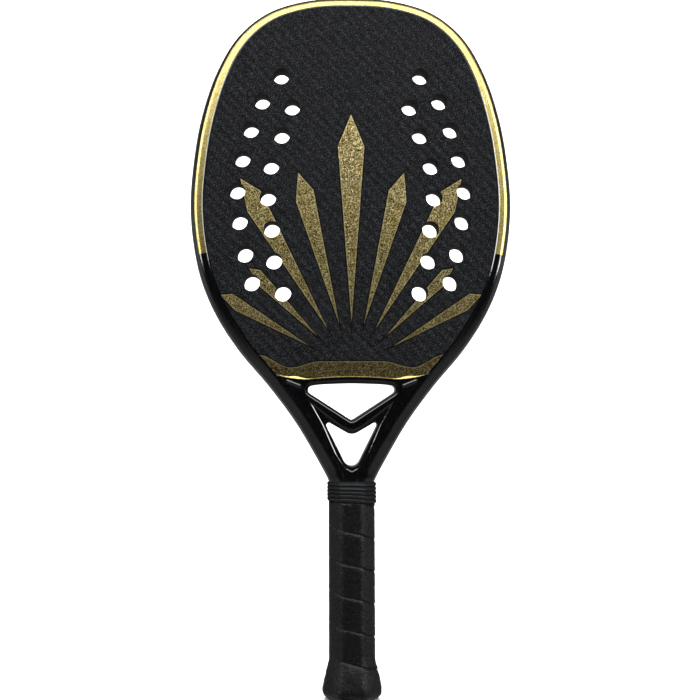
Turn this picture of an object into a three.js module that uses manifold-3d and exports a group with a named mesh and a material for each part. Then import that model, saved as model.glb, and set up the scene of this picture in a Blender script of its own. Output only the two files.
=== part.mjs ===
// Beach tennis racket, 500 mm long, standing on the butt of its handle.
// Millimetres. X runs across the head, Y through its thickness, +Z from the butt to the tip.
//
// One hollow laminated tube is bent into the hoop, and its two ends run down as shafts into the handle.
// A soft foam core and two thin laminates fill the hoop, a yoke closes its foot, and a V brace and a
// small wedge tie the shafts together. The handle is two pallets round the shaft ends, with a butt cap,
// a wound grip tape, a finishing tape and a ribbed rubber collar.
import * as THREE from 'three';
import { mergeVertices } from 'three/addons/utils/BufferGeometryUtils.js';
import Module from 'manifold-3d';

// Overall sizes
const overallLength = 500;
const headWidth = 229.6;
const headDepth = 22;

// Clearances
const bondGap = 0.3;
const overrun = 5;

// Handle
const handleLength = 153;
const gripWidth = 32.7;
const gripDepth = 28;
const buttWidth = 42.4;
const flareHeight = 30;
const handleFacetRound = 1.3;
const tapeThickness = 1.8;
const tapePitch = 22.8;
const tapeSeamGap = 0.6;
const tapeSeamDrop = 25;
const palletSideWall = 2.6;
const palletFaceWall = 3.9;
const palletDrop = 2.5;
const capFloor = 2.5;
const capSkirtHeight = 24;
const finishingThickness = 0.5;
const finishingDrop = 0.5;

// Rubber collar
const collarHeight = 14;
const collarStand = 1.25;
const collarWall = 1.6;
const collarRibDepth = 0.7;
const collarRibCount = 5;
const collarLipHeight = 4.5;
const collarTopTiltShare = 0.014;
const collarFootTiltShare = 0.066;

// Hollow frame tube
const frameWall = 1.5;
const hoopWidth = 13;
const hoopChamfer = 0.6;
const shaftWidth = 15.2;
const shaftChamfer = 2.6;
const edgeRounding = 9.3;
const shaftDepthTaper = 1.4;
const tubeEndRounding = 5;
const tubeEndChamfer = 1.2;
const tubeSplitGap = 0.3;
const frameStep = 11;
const neckClearance = 0.4;
const neckHeight = 13.4;
const neckBlendHeight = 4.6;
const shaftTaperHeight = 28.6;
const hoopBlendHeight = 34;

// Faces, core and their holes
const laminateThickness = 1;
const holeDiameter = 11.8;
const holeFacets = 16;
const holeTurnAngle = 0.1;
const faceFootDrop = 2.9;
const faceFootRise = 3.6;

// Throat, from its crotch up to the yoke under the faces
const crotchWeb = 7.9;
const lowerWindowHeight = 23.3;
const braceWeb = 8.7;
const upperWindowHeight = 26.7;
const yokeBow = 1.5;
const yokeHeight = 13;
const yokeSteps = 16;
const yokeRounding = 4.4;
const windowWeb = 8.86;
const windowCornerRadius = 2.95;
const windowFootRadius = 2.4;
const braceInset = 0.7;
const braceBevel = 2.3;
const lobeRise = 5.9;
const lobeRadius = 1.7;
const lobeWeb = 2.86;
const legDrop = 10;
const legToe = 0.8;
const dipRadius = 5.4;
const wedgeInset = 0.3;
const wedgeBevel = 2;
const wedgeFootDrop = 2.7;
const wedgeArmRise = 9;
const wedgeArmThickness = 0.7;
const archRadiusShare = 0.74;
const arcStep = Math.PI / 8;

// Outer edge of the hoop and shafts from the tip down: shares of the widening and of the rise from the
// top of the handle's neck to the widest place and to the tip.
const outlineShares = [
  [0.1476, 0.9945],
  [0.4368, 0.9688],
  [0.656, 0.9181],
  [0.8134, 0.8422],
  [0.9277, 0.7415],
  [0.9837, 0.6414],
  [1, 0.5666],
  [0.9802, 0.4919],
  [0.9265, 0.4175],
  [0.8193, 0.343],
  [0.6525, 0.2686],
  [0.4333, 0.1945],
  [0.2397, 0.1203],
  [0.0858, 0.0465],
  [0.0123, 0.0081],
];

// Neck hidden in the collar: shares of its narrowing and of its height, from the top down.
const neckShares = [
  [1, 0],
  [0.59, 0.18],
  [0.27, 0.37],
  [0.1, 0.63],
  [0, 1],
  [0, 2],
];

// Half of the tube's section from the outer edge to the flat: shares of the rounding and half depth.
const edgeShares = [
  [0.027, 0.31],
  [0.13, 0.59],
  [0.345, 0.81],
  [0.656, 0.945],
  [1, 1],
];
const cavityShares = [
  [0.1, 0.5],
  [0.4, 0.85],
  [0.9, 1],
];

// Hole centres on one side: shares of half the head width and of the rise from the neck to the tip.
const holeShares = [
  [0.433, 0.8318],
  [0.551, 0.7796],
  [0.622, 0.7207],
  [0.674, 0.6601],
  [0.706, 0.5941],
  [0.692, 0.5312],
  [0.658, 0.4642],
  [0.616, 0.4057],
  [0.365, 0.7675],
  [0.43, 0.7089],
  [0.497, 0.6454],
  [0.516, 0.5802],
  [0.492, 0.5153],
  [0.479, 0.4504],
  [0.424, 0.3846],
];

// Foot line of the faces from its corner to the middle: shares of its half width and of its rise.
const faceFootShares = [
  [1, 1],
  [0.84, 0.36],
  [0.62, 0],
  [0.5, 0.11],
  [0.25, 0.38],
  [0, 0.47],
];

// Flare of the grip towards the butt: shares of the flare's height and of its widening.
const flareShares = [
  [1, 0],
  [0.87, 0.06],
  [0.73, 0.32],
  [0.57, 0.56],
  [0.4, 0.79],
  [0.3, 0.94],
  [0.22, 1],
  [0.155, 0.87],
  [0.107, 0.62],
];
const rimShares = [
  [0.107, 0.62],
  [0.05, 0.33],
  [0.017, 0],
  [0, -0.3],
];

// Facets of the eight-sided handle: shares of its half width and half depth.
const frontFacetShare = 0.45;
const sideFacetShare = 0.36;

// One rib of the collar: shares of its pitch and of its depth.
const ribShares = [
  [0, 0],
  [0.2, 0.75],
  [0.5, 1],
  [0.8, 0.75],
];

const wasm = await Module();
wasm.setup();

function solidOf(geometry) {
  const bare = geometry.clone();
  bare.deleteAttribute('normal');
  bare.deleteAttribute('uv');
  const merged = mergeVertices(bare);
  return new wasm.Manifold(
    new wasm.Mesh({
      numProp: 3,
      vertProperties: new Float32Array(merged.attributes.position.array),
      triVerts: new Uint32Array(merged.index.array),
    }),
  );
}

function geometryOf(solid) {
  const mesh = solid.getMesh();
  const geometry = new THREE.BufferGeometry();
  geometry.setAttribute('position', new THREE.Float32BufferAttribute(mesh.vertProperties, 3));
  geometry.setIndex(Array.from(mesh.triVerts));
  geometry.computeVertexNormals();
  return geometry;
}

function signedVolume(points, triangles) {
  let volume = 0;
  for (let i = 0; i < triangles.length; i += 3) {
    const [a, b, c] = [points[triangles[i]], points[triangles[i + 1]], points[triangles[i + 2]]];
    volume += a.dot(new THREE.Vector3().crossVectors(b, c));
  }
  return volume;
}

// A closed skin over convex rings with equal numbers of points, each end capped by a fan.
function loft(rings) {
  const count = rings[0].length;
  const points = rings.flat();
  const triangles = [];
  for (let ring = 0; ring < rings.length - 1; ring += 1) {
    for (let i = 0; i < count; i += 1) {
      const a = ring * count + i;
      const b = ring * count + ((i + 1) % count);
      triangles.push(a, b, b + count, a, b + count, a + count);
    }
  }
  const last = points.length - count;
  for (let i = 1; i < count - 1; i += 1) {
    triangles.push(0, i + 1, i);
    triangles.push(last, last + i, last + i + 1);
  }
  if (signedVolume(points, triangles) < 0) {
    triangles.reverse();
  }
  const geometry = new THREE.BufferGeometry();
  const positions = points.flatMap((point) => point.toArray());
  geometry.setAttribute('position', new THREE.Float32BufferAttribute(positions, 3));
  geometry.setIndex(triangles);
  geometry.computeVertexNormals();
  return geometry;
}

// A flat outline drawn in X and Z, given thickness from one Y to another, with bevelled rims if asked.
function plate(shape, lowY, highY, bevel = 0, curveSegments = 1) {
  const geometry = new THREE.ExtrudeGeometry(shape, {
    depth: highY - lowY - 2 * bevel,
    bevelEnabled: bevel > 0,
    bevelThickness: bevel,
    bevelSize: bevel,
    bevelOffset: -bevel,
    bevelSegments: 2,
    curveSegments,
  });
  geometry.rotateX(Math.PI / 2);
  geometry.translate(0, highY - bevel, 0);
  return geometry;
}

function mix(from, to, share) {
  return from + (to - from) * Math.min(Math.max(share, 0), 1);
}

// Value at a height, from pairs of height and value listed from high to low.
function atHeight(pairs, z) {
  for (let i = 1; i < pairs.length; i += 1) {
    const [upperZ, upper] = pairs[i - 1];
    const [lowerZ, lower] = pairs[i];
    if (z >= lowerZ) {
      return mix(lower, upper, (z - lowerZ) / (upperZ - lowerZ));
    }
  }
  return pairs[pairs.length - 1][1];
}

// Handle heights and fits
const tubeFootZ = capFloor + bondGap;
const collarFootZ = handleLength - collarHeight;
const collarWidth = gripWidth + 2 * collarStand;
const palletInset = tapeThickness + bondGap;
const palletTopZ = handleLength - collarLipHeight - palletDrop;
const tapeSeamZ = collarFootZ - tapeSeamDrop;
const gripFlatness = (gripWidth - gripDepth) / 2;
const tubeOuterX = gripWidth / 2 - palletInset - palletSideWall;
const tubeEndWidth = tubeOuterX - tubeSplitGap / 2;
const tubeEndDepth = gripDepth - 2 * (palletInset + palletFaceWall);

// Outer edge of the frame, from the foot of the left shaft over the tip to that of the right one
const neckTopZ = handleLength + neckClearance;
const neckFootZ = neckTopZ - neckHeight;
const neckTopHalfWidth = gripWidth / 2;
const headRise = overallLength - neckTopZ;

function edgeCurve() {
  const right = outlineShares.map(([widening, rise]) => {
    const x = mix(neckTopHalfWidth, headWidth / 2, widening);
    return new THREE.Vector3(x, 0, neckTopZ + rise * headRise);
  });
  for (const [narrowing, drop] of neckShares) {
    const x = mix(tubeOuterX, neckTopHalfWidth, narrowing);
    right.push(new THREE.Vector3(x, 0, neckTopZ - drop * neckHeight));
  }
  const left = right.map((point) => new THREE.Vector3(-point.x, 0, point.z)).reverse();
  const tip = new THREE.Vector3(0, 0, overallLength);
  return new THREE.CatmullRomCurve3([...left, tip, ...right], false, 'centripetal');
}

// Points of the outer edge with the direction that leads into the tube.
function edgePoints(footZ) {
  const curve = edgeCurve();
  const steps = 2 * Math.round(curve.getLength() / frameStep / 2);
  const points = [{ x: -tubeOuterX, z: footZ, inX: 1, inZ: 0 }];
  for (let i = 0; i <= steps; i += 1) {
    const point = curve.getPointAt(i / steps);
    const tangent = curve.getTangentAt(i / steps);
    points.push({ x: point.x, z: point.z, inX: tangent.z, inZ: -tangent.x });
  }
  points.push({ x: tubeOuterX, z: footZ, inX: -1, inZ: 0 });
  return points;
}

function inward(point, distance) {
  return [point.x + point.inX * distance, point.z + point.inZ * distance];
}

const edge = edgePoints(tubeFootZ);

function rightSideLine(distance) {
  return edge.filter((point) => point.x > 0).map((point) => inward(point, distance));
}

// Half width, at a height, of the line that runs a given distance inside the frame's outer edge.
function halfWidthAt(z, distance) {
  return atHeight(rightSideLine(distance).map(([x, height]) => [height, x]), z);
}

// Height at which the inner edges of the two shafts meet on the middle plane.
function shaftMeetingZ() {
  const line = rightSideLine(shaftWidth);
  const above = line.findLastIndex(([x]) => x > 0);
  const [[upperX, upperZ], [lowerX, lowerZ]] = line.slice(above, above + 2);
  return mix(upperZ, lowerZ, upperX / (upperX - lowerX));
}

// Throat heights, from the crotch of the shafts up. The crotch stays clear of the neck in the collar.
const crotchZ = Math.max(shaftMeetingZ(), neckTopZ + wedgeFootDrop);
const lowerWindowFootZ = crotchZ + crotchWeb;
const dipFootZ = lowerWindowFootZ + lowerWindowHeight;
const upperWindowFootZ = dipFootZ + braceWeb;
const yokeEdgeZ = upperWindowFootZ + upperWindowHeight;
const yokeTopZ = yokeEdgeZ + yokeHeight;
const faceFootZ = yokeEdgeZ + faceFootDrop;
const shaftFootZ = neckTopZ + neckBlendHeight;
const shaftTopZ = faceFootZ;
const hoopFootZ = shaftTopZ + hoopBlendHeight;

// The ends of the throat's pieces reach to the middle of the shafts' flats before the tube is cut out.
const seatDistance = (edgeRounding + shaftWidth - shaftChamfer) / 2;
const upperWindowHalfWidth = halfWidthAt(yokeEdgeZ - yokeBow, shaftWidth) - windowWeb;

// Sizes of the frame tube by height, from the tip down
const shaftFootDepth = headDepth - 2 * shaftDepthTaper;
const tubeWidths = [
  [overallLength, hoopWidth],
  [hoopFootZ, hoopWidth],
  [shaftTopZ, shaftWidth],
];
const tubeHalfDepths = [
  [overallLength, headDepth / 2],
  [neckTopZ + shaftTaperHeight, headDepth / 2],
  [neckTopZ, shaftFootDepth / 2],
  [neckFootZ, tubeEndDepth / 2],
];
const tubeRoundings = [
  [overallLength, edgeRounding],
  [shaftFootZ, edgeRounding],
  [neckFootZ, tubeEndRounding],
];
const tubeChamfers = [
  [overallLength, hoopChamfer],
  [hoopFootZ, hoopChamfer],
  [shaftTopZ, shaftChamfer],
  [shaftFootZ, shaftChamfer],
  [neckFootZ, tubeEndChamfer],
];

// The shafts flatten against each other where they meet at the middle plane.
function roomToMiddle({ x, z, inX }) {
  return z < shaftTopZ ? Math.abs(x / inX) - tubeSplitGap / 2 : Infinity;
}

function tubeStations(footZ) {
  return edgePoints(footZ).map((point) => ({
    ...point,
    width: Math.min(atHeight(tubeWidths, point.z), roomToMiddle(point)),
    halfDepth: atHeight(tubeHalfDepths, point.z),
    rounding: atHeight(tubeRoundings, point.z),
    chamfer: atHeight(tubeChamfers, point.z),
  }));
}

function mirroredSection(station, half) {
  const place = ([distance, y]) => {
    const [x, z] = inward(station, distance);
    return new THREE.Vector3(x, y, z);
  };
  const front = half.map(([distance, y]) => [distance, -y]).reverse();
  const outer = half[0][0];
  return [...front.map(place), place([outer - edgeShares[0][0] * station.rounding, 0]), ...half.map(place)];
}

function tubeSection(station, grow) {
  const { width, halfDepth, rounding, chamfer } = station;
  const half = edgeShares.map(([u, v]) => [u * rounding - grow, v * (halfDepth + grow)]);
  half.push([width - chamfer, halfDepth + grow]);
  half.push([width + grow, halfDepth - chamfer]);
  return mirroredSection(station, half);
}

function cavitySection(station, shrink) {
  const { width, rounding } = station;
  const halfDepth = station.halfDepth - laminateThickness - frameWall - shrink;
  const near = frameWall + shrink;
  const far = width - near;
  const half = cavityShares.map(([u, v]) => [near + u * (rounding - frameWall), v * halfDepth]);
  half.push([far - frameWall, halfDepth]);
  half.push([far, halfDepth - frameWall]);
  return mirroredSection(station, half);
}

function tubeSolid(grow) {
  return solidOf(loft(tubeStations(tubeFootZ - grow).map((station) => tubeSection(station, grow))));
}

const faceSeatY = headDepth / 2 - laminateThickness;

function faceFootPoints(inset) {
  const corner = halfWidthAt(faceFootZ + faceFootRise + inset, edgeRounding + inset);
  const right = faceFootShares.map(([x, z]) => [x * corner, faceFootZ + z * faceFootRise + inset]);
  const left = right.slice(0, -1).map(([x, z]) => [-x, z]);
  return [...right, ...left.reverse()];
}

function headOutline(distance, footZ, footPoints) {
  const shape = new THREE.Shape();
  const side = edge.map((point) => inward(point, distance)).filter(([, z]) => z > footZ);
  [...side, ...footPoints].forEach(([x, z], index) => {
    if (index === 0) {
      shape.moveTo(x, z);
    } else {
      shape.lineTo(x, z);
    }
  });
  shape.closePath();
  return shape;
}

function faceOutline(inset) {
  const cornerZ = faceFootZ + faceFootRise + frameWall;
  return headOutline(edgeRounding + inset, cornerZ, faceFootPoints(inset));
}

function drillHoles(shape) {
  for (const [acrossShare, upShare] of holeShares) {
    for (const side of [-1, 1]) {
      const x = (side * acrossShare * headWidth) / 2;
      const centre = new THREE.Vector2(x, neckTopZ + upShare * headRise);
      const points = [];
      for (let i = 0; i < holeFacets; i += 1) {
        const arm = new THREE.Vector2(holeDiameter / 2, 0);
        arm.rotateAround(new THREE.Vector2(0, 0), holeTurnAngle + (2 * Math.PI * i) / holeFacets);
        points.push(arm.add(centre));
      }
      shape.holes.push(new THREE.Path(points));
    }
  }
}

function facePockets() {
  const front = solidOf(plate(faceOutline(0), -headDepth / 2 - overrun, -faceSeatY));
  const back = solidOf(plate(faceOutline(0), faceSeatY, headDepth / 2 + overrun));
  return front.add(back);
}

function makeHeadFrame(pockets) {
  const rings = tubeStations(tubeFootZ - overrun).map((station) => cavitySection(station, 0));
  return geometryOf(tubeSolid(0).subtract(solidOf(loft(rings))).subtract(pockets));
}

function makeFace(side) {
  const shape = faceOutline(bondGap);
  drillHoles(shape);
  const [low, high] = side < 0 ? [-headDepth / 2, -faceSeatY] : [faceSeatY, headDepth / 2];
  return plate(shape, low, high);
}

function makeCore() {
  const shape = headOutline(hoopWidth + bondGap, yokeTopZ + bondGap, []);
  drillHoles(shape);
  const blank = solidOf(plate(shape, -faceSeatY, faceSeatY));
  return geometryOf(blank.subtract(tubeSolid(bondGap)));
}

// The yoke is a bar that rolls over along the window's edge and is flat against the core. Its ends
// slant along the shafts that they meet.
function yokeSolid(grow) {
  const halfDepth = headDepth / 2 + grow;
  const footHalfSpan = halfWidthAt(yokeEdgeZ, seatDistance);
  const topHalfSpan = halfWidthAt(yokeTopZ, seatDistance);
  const rings = [];
  for (let i = 0; i <= yokeSteps; i += 1) {
    const along = 2 * (i / yokeSteps) - 1;
    const bow = Math.min(Math.abs(along * footHalfSpan) / upperWindowHalfWidth, 1) ** 2;
    const edgeZ = yokeEdgeZ - yokeBow * bow;
    const half = edgeShares.map(([u, v]) => [edgeZ - grow + u * yokeRounding, v * halfDepth]);
    half.push([yokeTopZ, halfDepth]);
    const front = half.map(([z, y]) => [z, -y]).reverse();
    const ring = [...front, [edgeZ - grow, 0], ...half].map(([z, y]) => {
      const x = along * mix(footHalfSpan, topHalfSpan, (z - yokeEdgeZ) / yokeHeight);
      return new THREE.Vector3(x, y, z);
    });
    rings.push(ring);
  }
  return solidOf(loft(rings));
}

function makeYoke(pockets) {
  return geometryOf(yokeSolid(0).subtract(tubeSolid(bondGap)).subtract(pockets));
}

// Points of an arc in X and Z, with its angles from +X towards +Z.
function arcPoints([centreX, centreZ, radius], fromAngle, toAngle) {
  const steps = Math.ceil(Math.abs(toAngle - fromAngle) / arcStep);
  const points = [];
  for (let i = 0; i <= steps; i += 1) {
    const angle = fromAngle + ((toAngle - fromAngle) * i) / steps;
    points.push([centreX + radius * Math.cos(angle), centreZ + radius * Math.sin(angle)]);
  }
  return points;
}

// Slope of the straight edge between two rounded corners, each given by its centre and radius. A radius
// is negative where its corner lies on the other side of the edge.
function tangentSlope([upperX, upperZ, upperRadius], [lowerX, lowerZ, lowerRadius]) {
  const distance = Math.hypot(upperX - lowerX, upperZ - lowerZ);
  const centreSlope = Math.atan2(upperZ - lowerZ, upperX - lowerX);
  return centreSlope + Math.asin((lowerRadius - upperRadius) / distance);
}

// The rounded bottom of a V on the middle plane, whose sides rise at a slope.
function valleyArc(circle, slope) {
  return arcPoints(circle, -Math.PI / 2 - slope, -Math.PI / 2 + slope);
}

// The V brace: its upper edge is the foot of the upper window, its lower edge the head of the lower one.
function braceOutline() {
  const cornerX = upperWindowHalfWidth - windowCornerRadius;
  const cornerCircle = [cornerX, yokeEdgeZ - yokeBow - windowCornerRadius, windowCornerRadius];
  const footCircle = [0, upperWindowFootZ + windowFootRadius, windowFootRadius];
  const windowSlope = tangentSlope(cornerCircle, footCircle);
  const corner = arcPoints(cornerCircle, windowSlope - Math.PI / 2, Math.PI / 4);

  const lobeZ = dipFootZ + lobeRise;
  const legFootZ = lobeZ - legDrop;
  const legFootX = halfWidthAt(legFootZ, shaftWidth) - legToe;
  const lobeX = halfWidthAt(lobeZ, shaftWidth) - lobeWeb - lobeRadius;
  const dipCircle = [0, dipFootZ + dipRadius, dipRadius];
  const dipSlope = tangentSlope([lobeX, lobeZ, -lobeRadius], dipCircle);
  const lobe = arcPoints([lobeX, lobeZ, lobeRadius], 0, Math.PI / 2 + dipSlope);

  const rootZ = yokeEdgeZ + yokeHeight / 2;
  const seat = [rootZ, (rootZ + legFootZ) / 2, legFootZ].map((z) => [halfWidthAt(z, seatDistance), z]);
  const right = [...corner, [corner[corner.length - 1][0], rootZ], ...seat, [legFootX, legFootZ], ...lobe];
  const left = right.map(([x, z]) => [-x, z]).reverse();
  const dip = valleyArc(dipCircle, dipSlope).reverse();
  const points = [...valleyArc(footCircle, windowSlope), ...right, ...dip, ...left];
  return new THREE.Shape(points.map(([x, z]) => new THREE.Vector2(x, z)));
}

function makeBrace() {
  const halfDepth = headDepth / 2 - braceInset;
  const blank = solidOf(plate(braceOutline(), -halfDepth, halfDepth, braceBevel));
  return geometryOf(blank.subtract(tubeSolid(bondGap)).subtract(yokeSolid(bondGap)));
}

// The wedge fills the crotch of the shafts under the lower window, hollowed by the window's round foot.
function makeWedge() {
  const halfDepth = shaftFootDepth / 2 - wedgeInset;
  const footZ = crotchZ - wedgeFootDrop;
  const armTopZ = lowerWindowFootZ + wedgeArmRise;
  const armX = halfWidthAt(armTopZ, shaftWidth) - wedgeArmThickness;
  const archRadius = archRadiusShare * armX;
  const archZ = lowerWindowFootZ + archRadius;
  const armDistance = Math.hypot(armX, armTopZ - archZ);
  const archEnd = Math.atan2(armTopZ - archZ, armX) - Math.acos(archRadius / armDistance);
  const points = [
    [-halfWidthAt(footZ, shaftWidth / 2), footZ],
    [halfWidthAt(footZ, shaftWidth / 2), footZ],
    [halfWidthAt(armTopZ, seatDistance), armTopZ],
    [armX, armTopZ],
    ...arcPoints([0, archZ, archRadius], archEnd, -Math.PI - archEnd),
    [-armX, armTopZ],
    [-halfWidthAt(armTopZ, seatDistance), armTopZ],
  ];
  const shape = new THREE.Shape(points.map(([x, z]) => new THREE.Vector2(x, z)));
  const blank = solidOf(plate(shape, -halfDepth, halfDepth, wedgeBevel));
  return geometryOf(blank.subtract(tubeSolid(bondGap)));
}

function makeShaftFoam(side) {
  const topZ = neckFootZ - neckHeight;
  const station = {
    x: side * tubeOuterX,
    inX: -side,
    inZ: 0,
    width: tubeEndWidth,
    halfDepth: tubeEndDepth / 2,
    rounding: tubeEndRounding,
  };
  return loft([tubeFootZ, topZ].map((z) => cavitySection({ ...station, z }, bondGap)));
}

// Eight-sided section of the handle with its corners cut, at one height. Every side moves in by the inset.
function handleRing([fullHalfWidth, fullHalfDepth], inset, z, tiltShare = 0) {
  const fullFacetX = frontFacetShare * fullHalfWidth;
  const fullFacetY = sideFacetShare * fullHalfDepth;
  const slant = new THREE.Vector2(fullHalfDepth - fullFacetY, fullHalfWidth - fullFacetX).normalize();
  const halfWidth = fullHalfWidth - inset;
  const halfDepth = fullHalfDepth - inset;
  const facetX = fullFacetX - (inset * (1 - slant.y)) / slant.x;
  const facetY = fullFacetY - (inset * (1 - slant.x)) / slant.y;
  const corners = [
    [halfWidth, -facetY],
    [halfWidth, facetY],
    [facetX, halfDepth],
    [-facetX, halfDepth],
    [-halfWidth, facetY],
    [-halfWidth, -facetY],
    [-facetX, -halfDepth],
    [facetX, -halfDepth],
  ];
  return corners.flatMap((corner, i) => {
    const here = new THREE.Vector2(...corner);
    const before = new THREE.Vector2(...corners[(i + corners.length - 1) % corners.length]);
    const after = new THREE.Vector2(...corners[(i + 1) % corners.length]);
    return [before, after].map((other) => {
      const point = here.clone().add(other.sub(here).setLength(handleFacetRound));
      return new THREE.Vector3(point.x, point.y, z - point.x * tiltShare);
    });
  });
}

function gripHalfWidth([, widening]) {
  return (gripWidth + widening * (buttWidth - gripWidth)) / 2;
}

// Half width and half depth of the grip, the same distance apart all the way down its flare.
function gripHalves(halfWidth) {
  return [halfWidth, halfWidth - gripFlatness];
}

const gripProfile = [
  [overallLength, gripWidth / 2],
  ...flareShares.map((row) => [row[0] * flareHeight, gripHalfWidth(row)]),
];

function gripRing(row, inset) {
  return handleRing(gripHalves(gripHalfWidth(row)), inset, row[0] * flareHeight);
}

// Room for both shaft ends between two heights. It runs straight over the notch where they meet.
function shaftRoom(lowZ, highZ) {
  const slab = new THREE.BoxGeometry(gripWidth, gripDepth, highZ - lowZ);
  slab.translate(0, 0, (lowZ + highZ) / 2);
  return tubeSolid(bondGap).intersect(solidOf(slab)).hull();
}

// The pallets are two half shells moulded round the shaft ends, from the cap up into the collar.
function makePallet(side) {
  const ring = (z) => handleRing(gripHalves(gripWidth / 2), palletInset, z);
  const blank = solidOf(loft([ring(capSkirtHeight + bondGap), ring(palletTopZ)]));
  const room = shaftRoom(tubeFootZ, neckFootZ).add(shaftRoom(neckFootZ, palletTopZ + bondGap));
  const clip = new THREE.BoxGeometry(gripWidth, gripDepth, 2 * palletTopZ);
  clip.translate(0, (side * (gripDepth + bondGap)) / 2, palletTopZ);
  return geometryOf(blank.subtract(room).intersect(solidOf(clip)));
}

// The butt cap is a flared block with sockets for the shaft ends. The tape lies on its skirt and ends on
// the ledge above its rim.
function makeButtCap() {
  const below = flareShares.filter(([heightShare]) => heightShare * flareHeight < capSkirtHeight);
  const top = handleRing(gripHalves(atHeight(gripProfile, capSkirtHeight)), palletInset, capSkirtHeight);
  const skirt = below.map((row) => gripRing(row, palletInset));
  const rim = rimShares.map((row) => gripRing(row, 0));
  const block = solidOf(loft([top, ...skirt])).add(solidOf(loft(rim)));
  return geometryOf(block.subtract(tubeSolid(bondGap)));
}

// The tape starts as a sleeve of the grip's full form and is parted along one helical seam.
function tapeSleeve() {
  const footZ = flareShares[flareShares.length - 1][0] * flareHeight + bondGap;
  const sleeve = (inset) => [
    handleRing(gripHalves(gripWidth / 2), inset, collarFootZ - bondGap, collarFootTiltShare),
    ...flareShares.slice(0, -1).map((row) => gripRing(row, inset)),
    handleRing(gripHalves(atHeight(gripProfile, footZ)), inset, footZ),
  ];
  const [top, ...rest] = sleeve(tapeThickness);
  const aboveTop = top.map((point) => point.setZ(point.z + overrun));
  const outer = solidOf(loft(sleeve(0)));
  const bore = solidOf(loft([aboveTop, ...rest, gripRing([0, 0], tapeThickness)]));
  return outer.subtract(bore);
}

// One lip of the seam: points round the grip that fall one pitch a turn, at an offset from the surface.
function seamLip(offsetZ, outset) {
  const base = handleRing(gripHalves(gripWidth / 2), 0, 0);
  const lengths = base.map((point, i) => point.distanceTo(base[(i + 1) % base.length]));
  const perimeter = lengths.reduce((sum, length) => sum + length, 0);
  const turnsAbove = Math.ceil((collarFootZ + tapePitch - tapeSeamZ) / tapePitch);
  const turns = Math.ceil((collarFootZ + 2 * tapePitch) / tapePitch) + turnsAbove;
  const points = [];
  for (let turn = -turnsAbove; turn < turns - turnsAbove; turn += 1) {
    let run = 0;
    for (let i = 0; i < base.length; i += 1) {
      const z = tapeSeamZ - tapePitch * (turn + run / perimeter) + offsetZ;
      points.push(handleRing(gripHalves(atHeight(gripProfile, z)), -outset, z)[i]);
      run += lengths[i];
    }
  }
  return points;
}

function leastGap(first, second) {
  let least = Infinity;
  const closest = new THREE.Vector3();
  for (const point of first) {
    for (let i = 1; i < second.length; i += 1) {
      new THREE.Line3(second[i - 1], second[i]).closestPointToPoint(point, true, closest);
      least = Math.min(least, closest.distanceTo(point));
    }
  }
  return least;
}

function makeGripTape() {
  const reach = tapeThickness + bondGap;
  const halfGap = tapeSeamGap / 2;
  const corners = [[-halfGap, -2 * reach], [-halfGap, reach], [halfGap, reach], [halfGap, -2 * reach]];
  const lips = corners.map(([offsetZ, outset]) => seamLip(offsetZ, outset));
  const rings = lips[0].map((_, i) => lips.map((lip) => lip[i]));
  const gap = leastGap(seamLip(-halfGap, 0), seamLip(halfGap, 0));
  console.log(`grip tape: least gap between its turns ${gap.toFixed(2)} mm`);
  return geometryOf(tapeSleeve().subtract(solidOf(loft(rings))));
}

function makeFinishingTape() {
  const bottomZ = collarFootZ + bondGap;
  const ring = (inset, z, tiltShare) => handleRing(gripHalves(gripWidth / 2), inset, z, tiltShare);
  const outerInset = palletInset - bondGap - finishingThickness;
  const innerInset = palletInset - bondGap;
  const topZ = palletTopZ - finishingDrop;
  const outer = loft([
    ring(outerInset, bottomZ, collarFootTiltShare),
    ring(outerInset, topZ, collarTopTiltShare),
  ]);
  const bore = loft([ring(innerInset, bottomZ - overrun, 0), ring(innerInset, topZ + overrun, 0)]);
  return geometryOf(solidOf(outer).subtract(solidOf(bore)));
}

// The collar grips the end of the finishing tape and closes in on the shafts at its upper lip.
function makeCollar() {
  const pitch = collarHeight / collarRibCount;
  const footHalfDepth = collarWidth / 2 - gripFlatness;
  const topHalfDepth = shaftFootDepth / 2 + bondGap + collarWall;
  const ring = (halves, inset, rise) => {
    const tiltShare = mix(collarFootTiltShare, collarTopTiltShare, rise / collarHeight);
    return handleRing(halves, inset, collarFootZ + rise, tiltShare);
  };
  const outerRows = [];
  for (let rib = 0; rib < collarRibCount; rib += 1) {
    for (const [pitchShare, depthShare] of ribShares) {
      const rise = (rib + pitchShare) * pitch;
      const sink = collarRibDepth * (1 - depthShare);
      const halfDepth = mix(footHalfDepth, topHalfDepth, (2 * rise) / collarHeight - 1);
      outerRows.push(ring([collarWidth / 2, halfDepth], sink, rise));
    }
  }
  outerRows.push(ring([collarWidth / 2, topHalfDepth], collarRibDepth / 2, collarHeight));
  const sleeveInset = palletInset - 2 * bondGap - finishingThickness;
  const bore = loft([
    ring(gripHalves(gripWidth / 2), sleeveInset, -overrun),
    ring(gripHalves(gripWidth / 2), sleeveInset, collarHeight - collarLipHeight),
    ring([neckTopHalfWidth, shaftFootDepth / 2], -bondGap, collarHeight + bondGap),
  ]);
  return geometryOf(solidOf(loft(outerRows)).subtract(solidOf(bore)).subtract(tubeSolid(bondGap)));
}

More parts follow.
